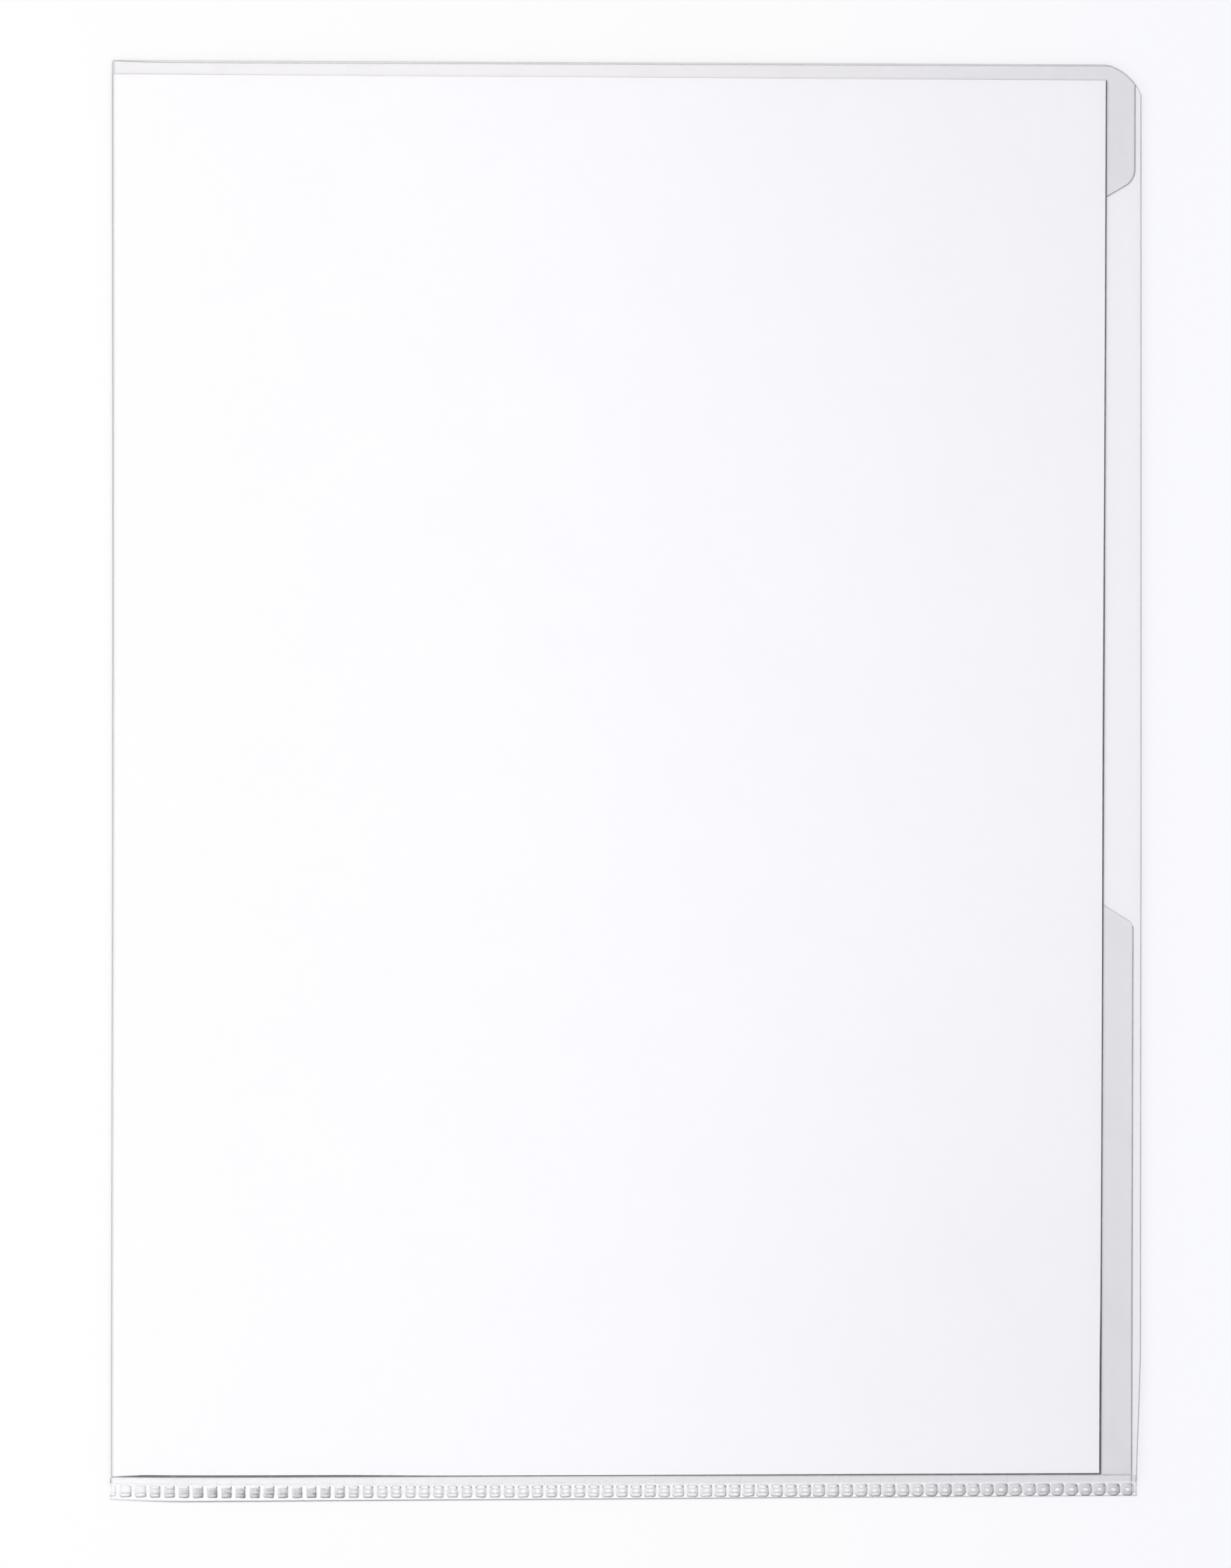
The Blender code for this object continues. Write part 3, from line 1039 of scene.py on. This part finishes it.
def addOutline(wire, cell):
    # depth is how far a point lies outside the rounded outline, below 0 inside
    wider = cellOutline["widerBy"] * zone(cell.x, "widening") - cellOutline["narrowerBy"] * cell.nearFold
    cell.halfWide = weldSet["cellWidth"] / 2 - cellOutline["drawnIn"] + wider
    cell.east = (cell.u / cell.halfWide).clamped()
    endFoot = cellOutline["endFoot"] * cell.v.eased(*cellOutline["endFootFade"])
    rounder = cell.nearEnd * (cellOutline["endCorner"] + endFoot)
    corner = cellOutline["corner"] + rounder - cellOutline["foldCorner"] * cell.nearFold
    overU = abs(cell.u) - (cell.halfWide - corner)
    overV = abs(cell.v) - (weldSet["cellHeight"] / 2 - corner)
    outside = wire.maths("SQRT", overU.most(0.0) ** 2.0 + overV.most(0.0) ** 2.0)
    cell.depth = outside + overU.most(overV).least(0.0) - corner
    cell.inside = cell.depth.eased(*cellOutline["edgeFade"])
    cell.outline = stroke(cell.depth, "outline")


def darkLines(cell):
    # painted shade: ears at the upper corners, lines round the waist, and the lower and right sides
    u, v, outline = cell.u, cell.v, cell.outline
    rightEar = howStrong(cell, "rightEar") * cell.started * mark(cell, "rightEar")
    leftEar = howStrong(cell, "leftEar") * cell.spool * mark(cell, "leftEar")
    rightSide = stroke(u - cell.halfWide, "rightSide") * fade(abs(v), "rightSide")
    rightSide = howStrong(cell, "rightSide") * rightSide
    lowSides = howStrong(cell, "lowSides") * outline * fade(v, "lowSides")
    foot = howStrong(cell, "foot") * outline * fade(v, "foot")
    topArc = howStrong(cell, "topArc") * cell.plain * outline * fade(v, "topArc")
    underEye = v - cellOutline["eyeCurve"] * u * u
    eyeLine = howStrong(cell, "eyeLine") * stroke(underEye, "eye") * fade(abs(u), "eye")
    waist = howStrong(cell, "waist") * stroke(abs(u), "waist") * fade(abs(v), "waist")
    upper = howStrong(cell, "upperLines") * cell.started * cell.plain * (eyeLine + waist)
    lowest = v + cellOutline["lowDrop"] * cell.nearEnd
    lowLine = howStrong(cell, "lowLine") * stroke(lowest, "low") * fade(abs(u), "low")
    return rightEar + leftEar + rightSide + lowSides + foot + topArc + upper + lowLine


def darkBody(cell):
    # painted shade: the pressed floor is drawn grey near the fold, and again where the back film ends
    atFold = cell.nearFold * howStrong(cell, "foldBody") * howStrong(cell, "foldBodySide")
    atFold = atFold * fade(cell.u, "bodyLeft") * fade(cell.v, "bodyTop")
    atEnd = cell.nearEnd * howStrong(cell, "endBody") * fade(cell.fromBack, "backFilm")
    return cell.inside * (atFold + howStrong(cell, "sideBody") + atEnd)


def cellHighlights(cell):
    # painted highlights: the eye between the ears, the middle, the cap, the low band, and what lies
    # round the cell
    v, depth = cell.v, cell.depth
    eye = howStrong(cell, "eye") * cell.started * cell.plain * mark(cell, "eye")
    middle = howStrong(cell, "middle") * cell.started * mark(cell, "middle")
    spot = howStrong(cell, "spot") * mark(cell, "spot")
    veil = howStrong(cell, "veil") * cell.inside
    besideEar = (1 - cellOutline["earClear"] * mark(cell, "rightEar")).most(0.0)
    cap = howStrong(cell, "cap") * cell.inside * fade(v, "cap") * besideEar
    lowBand = howStrong(cell, "lowBand") * mark(cell, "lowBand")
    halo = howStrong(cell, "halo") * stroke(depth, "halo") * fade(v, "halo")
    gap = howStrong(cell, "gap") * fade(depth, "gap") * fade(abs(v), "gapEnds")
    footGap = howStrong(cell, "footGap") * fade(depth, "footGap")
    footGap = footGap * fade(v, "footGapIn") * fade(v, "footGapOut")
    below = howStrong(cell, "below") * fade(v, "below")
    return eye + middle + spot + veil + cap + lowBand + halo + gap + footGap + below


def bottomLineOf(cell):
    # painted shade along the cut bottom edge, which wanders
    dip, dipAt = weldSet["edgeDip"], weldSet["edgeDipAt"]
    towardsFold = ((dipAt - cell.x) / (dipAt - leftEdge)).most(0.0)
    climb = weldSet["edgeClimb"] * (cell.x - dipAt).most(0.0)
    edge = bottomEdge + dip * (1 - towardsFold * towardsFold) + climb
    return howStrong(cell, "bottom") * stroke(cell.y - edge, "bottom")


def endLinesOf(cell):
    # painted shade lines down both ends and the back film's edge, and creases that run up from the cells
    foldEnd = stroke(cell.fromFold, "foldEnd") * fade(abs(cell.v - cellOutline["endMiddle"]), "foldEnd")
    freeEnd = stroke(cell.x - weldEnd, "freeEnd")
    backEnd = stroke(cell.fromBack, "backEnd")
    creases = howStrong(cell, "creases") * stroke(cell.u - cell.halfWide, "crease")
    creases = creases * fade(cell.v, "creaseIn") * fade(cell.v, "creaseOut")
    return howStrong(cell, "ends") * (foldEnd + freeEnd + backEnd) + creases


def weldedFilm(name):
    # painted shade and highlights for how each pressed cell gathers the light, worked out from its own
    # middle
    finish, wire = newFinish(name)
    cell = cellPlace(wire)
    addZones(cell)
    addOutline(wire, cell)
    bottomLine = bottomLineOf(cell)
    bright = (cellHighlights(cell) * (1 - bottomLine)).clamped()
    dark = howStrong(cell, "allDark") * (darkLines(cell) + darkBody(cell))
    dark = howStrong(cell, "darkByChance") * dark * (1 - bright)
    dark = dark + weldShading["bottomDark"] * bottomLine + endLinesOf(cell)
    pattern = weldShading["darkCover"] * dark + weldShading["lightCover"] * bright
    pattern = pattern.least(weldShading["mostCover"]) * cell.z.eased(*weldShading["topOnly"])
    least = weldShading["leastLight"]
    lightShare = (bright + least) / (bright + dark + least)
    drawn = lightShare.blended(weldShading["dark"], weldShading["light"])
    # plain film wherever nothing is drawn
    fork = cell.v.eased(*weldShading["forkFrom"]) * cell.x.eased(*weldShading["forkFade"])
    mirrored = mirrorShare(wire) + weldShading["forkSheen"] * fork
    drawnFilm(wire, mirrored, pattern, drawn, weldShading["roughness"])
    return finish


weldBand([weldedFilm("welded_film"), joinWall])
print("weld made,", weldSet["cellCount"], "cells")


# The sheet of paper in the pocket
paperSet = {
    "skew": 0.00028,  # right edge leans out at the top and in at the bottom
    "sideLine": 0.00028,  # painted shadow along the right edge, wider halfway and at its foot
    "sideSwell": 0.00008,
    "sideSwellAt": 0.010,
    "sideSwellReach": 0.040,
    "sideFoot": 0.00014,
    "sideFootFrom": (-0.105, -0.125),
    "bottomLine": 0.00028,  # painted shadow along the bottom edge, wider on its left
    "leftSwell": 0.00022,
    "leftSwellFade": (-0.062, -0.035),
    "drop": (0.00042, 0.00020),  # bottom edge hangs lower on its left than on its right
    "dropRun": 0.009,  # but starts higher at the fold
    "dropStart": 0.00032,
    "thinRise": 0.00010,
    "lineStart": 0.006,  # the bottom line grows to its width over this length
    "lineLeast": 0.1,  # from this share of it
    "thinAt": -0.008,  # and is thinner about here
    "thinReach": 0.035,
    "thinBy": 0.35,
    "cutStep": 0.012,
    "endSag": 0.00029,  # top, bottom and right edges rest on the back film
    "endSagRun": 0.020,
    "endSagCuts": 5,
    "topDrop": 0.00020,  # top edge is lower at the right
    "foldGap": 0.00024,  # pushed home against the fold
    "rightReach": 0.00018,
    "sideReach": 0.0007,  # what lies this near the right edge moves with it
}

paperLook = {
    "tones": ((0.940, 0.942, 0.953, 1.0), (0.970, 0.972, 0.982, 1.0)),
    "fibreScale": 1800.0,
    "fibreShare": 0.6,  # the rest of the tone is a wider cloud
    "cloudScale": 45.0,
    "fibreStrength": 0.12,
    "fibreHeight": 0.00003,
    "roughness": 0.82,
    "fibreRough": 0.1,
    # near-black painted shadow along the right and bottom edges
    "shadowLineTones": ((0.006, 0.006, 0.008, 1.0), (0.035, 0.035, 0.04, 1.0)),
    "lineScale": 220.0,
    "lineRoughness": 0.7,
}


def paperFinish(name):
    finish, wire = newFinish(name)
    coords = objectCoords(wire)
    fibre = flatNoise(wire, coords, paperLook["fibreScale"], 2.0)
    cloud = flatNoise(wire, coords, paperLook["cloudScale"], 1.0)
    tone = paperLook["fibreShare"] * fibre + (1 - paperLook["fibreShare"]) * cloud
    bump = wire.node("Bump", values={
        "Strength": paperLook["fibreStrength"],
        "Distance": paperLook["fibreHeight"],
        "Height": fibre,
    })
    sheet = wire.node("BsdfPrincipled", values={
        "Base Color": tone.blended(*paperLook["tones"]),
        "Roughness": paperLook["roughness"] + paperLook["fibreRough"] * fibre,
        "Normal": bump,
    })
    showFinish(wire, sheet)
    return finish


def paperShadowLine(name):
    # painted shadow along the sheet's right and bottom edges
    finish, wire = newFinish(name)
    drift = flatNoise(wire, objectCoords(wire), paperLook["lineScale"], 1.0)
    sheet = wire.node("BsdfPrincipled", values={
        "Base Color": drift.blended(*paperLook["shadowLineTones"]),
        "Roughness": paperLook["lineRoughness"],
    })
    showFinish(wire, sheet)
    return finish


def smoothShare(value, low, high):
    # 0 at low, 1 at high, smooth between
    share = min(max((value - low) / (high - low), 0.0), 1.0)
    return share * share * (3 - 2 * share)


def thinning(x):
    # 1 where the bottom line is thinnest, 0 far from there
    return math.exp(-((x - paperSet["thinAt"]) / paperSet["thinReach"]) ** 2)


def lineWidthAt(x, startX):
    # width of the painted shadow along the bottom edge
    least = paperSet["lineLeast"]
    grown = least + (1 - least) * min((x - startX) / paperSet["lineStart"], 1.0)
    swell = paperSet["leftSwell"] * (1 - smoothShare(x, *paperSet["leftSwellFade"]))
    return (paperSet["bottomLine"] + swell) * grown * (1 - paperSet["thinBy"] * thinning(x))


def sideWidthAt(y):
    # width of the painted shadow along the right edge
    away = (y - paperSet["sideSwellAt"]) / paperSet["sideSwellReach"]
    foot = paperSet["sideFoot"] * smoothShare(y, *paperSet["sideFootFrom"])
    return paperSet["sideLine"] + paperSet["sideSwell"] * math.exp(-away * away) + foot


def bottomDrop(along, length):
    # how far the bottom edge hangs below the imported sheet
    leftDrop, rightDrop = paperSet["drop"]
    start = paperSet["dropStart"] * math.exp(-along / paperSet["dropRun"])
    return leftDrop + (rightDrop - leftDrop) * along / length - start


def endSag(place, low, high):
    # how far the sheet sinks onto the back film near its free edges
    nearest = min(high.y - place.y, place.y - low.y, high.x - place.x)
    reach = min(nearest / paperSet["endSagRun"], 1.0)
    held = min((place.x - low.x) / paperSet["endSagRun"], 1.0)
    return paperSet["endSag"] * held * (1 - reach) ** 2


def cutPaper(bm, lineX, lineY):
    # cuts along both painted shadow lines, all over, and closer where the edges sag
    low, high = paperBox
    cutAcross(bm, rightward * lineX, rightward)
    cutAcross(bm, upward * lineY, upward)
    cutEvery(bm, rightward, paperSet["cutStep"] / 2)
    cutEvery(bm, upward, paperSet["cutStep"])
    for step in range(1, paperSet["endSagCuts"]):
        inset = paperSet["endSagRun"] * step / paperSet["endSagCuts"]
        cutAcross(bm, upward * (high.y - inset), upward)
        cutAcross(bm, upward * (low.y + inset), upward)
        cutAcross(bm, rightward * (high.x - inset), rightward)


def drawPaperLines(bm, lineX, lineY):
    # lets the sheet sag, and gives its painted shadow lines their widths
    low, high = paperBox
    for face in bm.faces:
        middle = face.calc_center_median()
        face.material_index = 1 if middle.x > lineX or middle.y < lineY else 0
    for vert in bm.verts:
        vert.co.z -= endSag(vert.co, low, high)
        onSide = abs(vert.co.x - lineX) < tiny
        if abs(vert.co.y - lineY) < tiny:
            vert.co.y = low.y + lineWidthAt(vert.co.x, low.x)
        if onSide:
            vert.co.x = high.x - sideWidthAt(vert.co.y)


def settlePaper(bm, lineY):
    # moves each edge to where it lies in the pocket
    low, high = paperBox
    size = high - low
    for vert in bm.verts:
        if vert.co.x > high.x - paperSet["sideReach"]:
            vert.co.x += paperSet["rightReach"] + paperSet["skew"] * vert.co.y / (size.y / 2)
        if vert.co.y < lineY + tiny:
            rise = paperSet["thinRise"] * thinning(vert.co.x)
            vert.co.y -= bottomDrop(vert.co.x - low.x, size.x) - rise
        if vert.co.y > high.y - tiny:
            vert.co.y -= paperSet["topDrop"] * (vert.co.x - low.x) / size.x
        if vert.co.x < low.x + tiny:
            vert.co.x = leftEdge + foldBow(vert.co.y) + paperSet["foldGap"]


def paperInsert(finishes):
    bm = flatGrid(1.0)
    low, high = paperBox
    size = high - low
    bmesh.ops.scale(bm, verts=bm.verts, vec=(size.x, size.y, 1))
    bmesh.ops.translate(bm, verts=bm.verts, vec=((low.x + high.x) / 2, (low.y + high.y) / 2, high.z))
    lineX = high.x - paperSet["sideLine"]
    lineY = low.y + paperSet["bottomLine"] + paperSet["leftSwell"]
    cutPaper(bm, lineX, lineY)
    drawPaperLines(bm, lineX, lineY)
    thicken(bm, high.z - low.z)
    settlePaper(bm, lineY)
    pressFlat(bm)
    piece = newPiece("paper_insert", bm, finishes)
    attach(piece, "paper")
    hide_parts("paper_sheet")


paperInsert([paperFinish("white_paper"), paperShadowLine("paper_edge_shadow")])
print("paper made")


# Floor, light and camera
stageSet = {
    "floorSize": 9.0,
    "floorLevel": -0.00002,
    "floorColour": ((0.962, 0.957, 0.948, 1.0), (0.946, 0.946, 0.955, 1.0)),  # left, right: painted light, the floor lighter on the left
    "floorLightFade": (0.03, 0.115),
    "floorRoughness": 0.9,
    "floorGloss": 0.1,
    "skyColour": (0.985, 0.99, 1.02, 1.0),
    "skyStrength": 0.97,
    "skySeen": 1.0,
    "boxPlace": (-0.45, 0.0, 0.45),
    "boxSize": 0.6,
    "boxColour": (1.0, 0.995, 0.98, 1.0),
    "boxStrength": 1.39,
    "sheenPlace": (0.0, 0.0, 1.6),
    "sheenSize": 6.0,
    "sheenRange": (2.10, 1.04),  # bright on the left, dim on the right
    "sheenFade": (0.0, 0.36),
    "cornerDim": 0.35,  # and dimmer still towards the right corners
    "cornerAcross": (-0.12, 0.27),
    "cornerAlong": (0.08, 0.32),
}


def makeFloor():
    bm = flatGrid(stageSet["floorSize"])
    bmesh.ops.translate(bm, verts=bm.verts, vec=(0, 0, stageSet["floorLevel"]))
    finish, wire = newFinish("pale_floor")
    x = axisOf(objectCoords(wire), 0)
    # painted light: the floor's colour is lighter on the left
    showFinish(wire, wire.node("BsdfPrincipled", values={
        "Base Color": x.eased(*stageSet["floorLightFade"]).blended(*stageSet["floorColour"]),
        "Roughness": stageSet["floorRoughness"],
        "Specular IOR Level": stageSet["floorGloss"],
    }))
    newPiece("floor", bm, [finish])


def makeSky():
    sky = bpy.data.worlds.new("soft sky")
    sky.use_nodes = True
    sky.node_tree.nodes.clear()
    scene.world = sky
    wire = Wire(sky.node_tree)
    seen = wire.node("LightPath", out="Is Camera Ray")
    seen = seen.most(wire.node("LightPath", out="Is Glossy Ray"))
    seen = seen.most(wire.node("LightPath", out="Is Transmission Ray"))
    low, high = stageSet["skyStrength"], stageSet["skySeen"]
    glow = wire.node("Background", values={
        "Color": stageSet["skyColour"],
        "Strength": low + (high - low) * seen,
    })
    wire.node("OutputWorld", values={"Surface": glow})


def makeSoftBox():
    # a glowing card on the left, which only lights the scene
    bm = flatGrid(stageSet["boxSize"])
    place = Vector(stageSet["boxPlace"])
    turn = (-place).to_track_quat("Z", "Y").to_matrix().to_4x4()
    bmesh.ops.transform(bm, matrix=Matrix.Translation(place) @ turn, verts=bm.verts)
    finish, wire = newFinish("soft_box_glow")
    showFinish(wire, wire.node("Emission", values={
        "Color": stageSet["boxColour"],
        "Strength": stageSet["boxStrength"],
    }))
    finish.cycles.emission_sampling = "NONE"
    card = newPiece("soft_box", bm, [finish])
    card.visible_camera = False


def makeSheen():
    # a card overhead that only the film's gloss sees, brighter on the left
    bm = flatGrid(stageSet["sheenSize"])
    bmesh.ops.translate(bm, verts=bm.verts, vec=stageSet["sheenPlace"])
    finish, wire = newFinish("sheen_card_glow")
    coords = objectCoords(wire)
    x = axisOf(coords, 0)
    y = axisOf(coords, 1)
    bright, dim = stageSet["sheenRange"]
    strength = bright + (dim - bright) * x.eased(*stageSet["sheenFade"])
    corners = x.eased(*stageSet["cornerAcross"]) * abs(y).eased(*stageSet["cornerAlong"])
    showFinish(wire, wire.node("Emission", values={
        "Color": stageSet["boxColour"],
        "Strength": strength - stageSet["cornerDim"] * corners,
    }))
    finish.cycles.emission_sampling = "NONE"
    card = newPiece("sheen_card", bm, [finish])
    card.visible_camera = False
    card.visible_diffuse = False


cameraSet = {
    "place": (-0.0566, 0.0161, 1.3989),
    "turn": (-0.01195, -0.03869, 0.00163),
    "lens": 151.26,  # on a 36 mm sensor along the picture's height
    "sensor": 36.0,
    "nearest": 0.01,
}


def makeCamera():
    camera = bpy.data.cameras.new("camera")
    camera.lens = cameraSet["lens"]
    camera.sensor_width = cameraSet["sensor"]
    camera.sensor_fit = "AUTO"
    camera.clip_start = cameraSet["nearest"]
    holder = bpy.data.objects.new("camera", camera)
    holder.location = cameraSet["place"]
    holder.rotation_euler = cameraSet["turn"]
    scene.collection.objects.link(holder)
    scene.camera = holder


makeFloor()
makeSky()
makeSoftBox()
makeSheen()
makeCamera()
print("stage made")
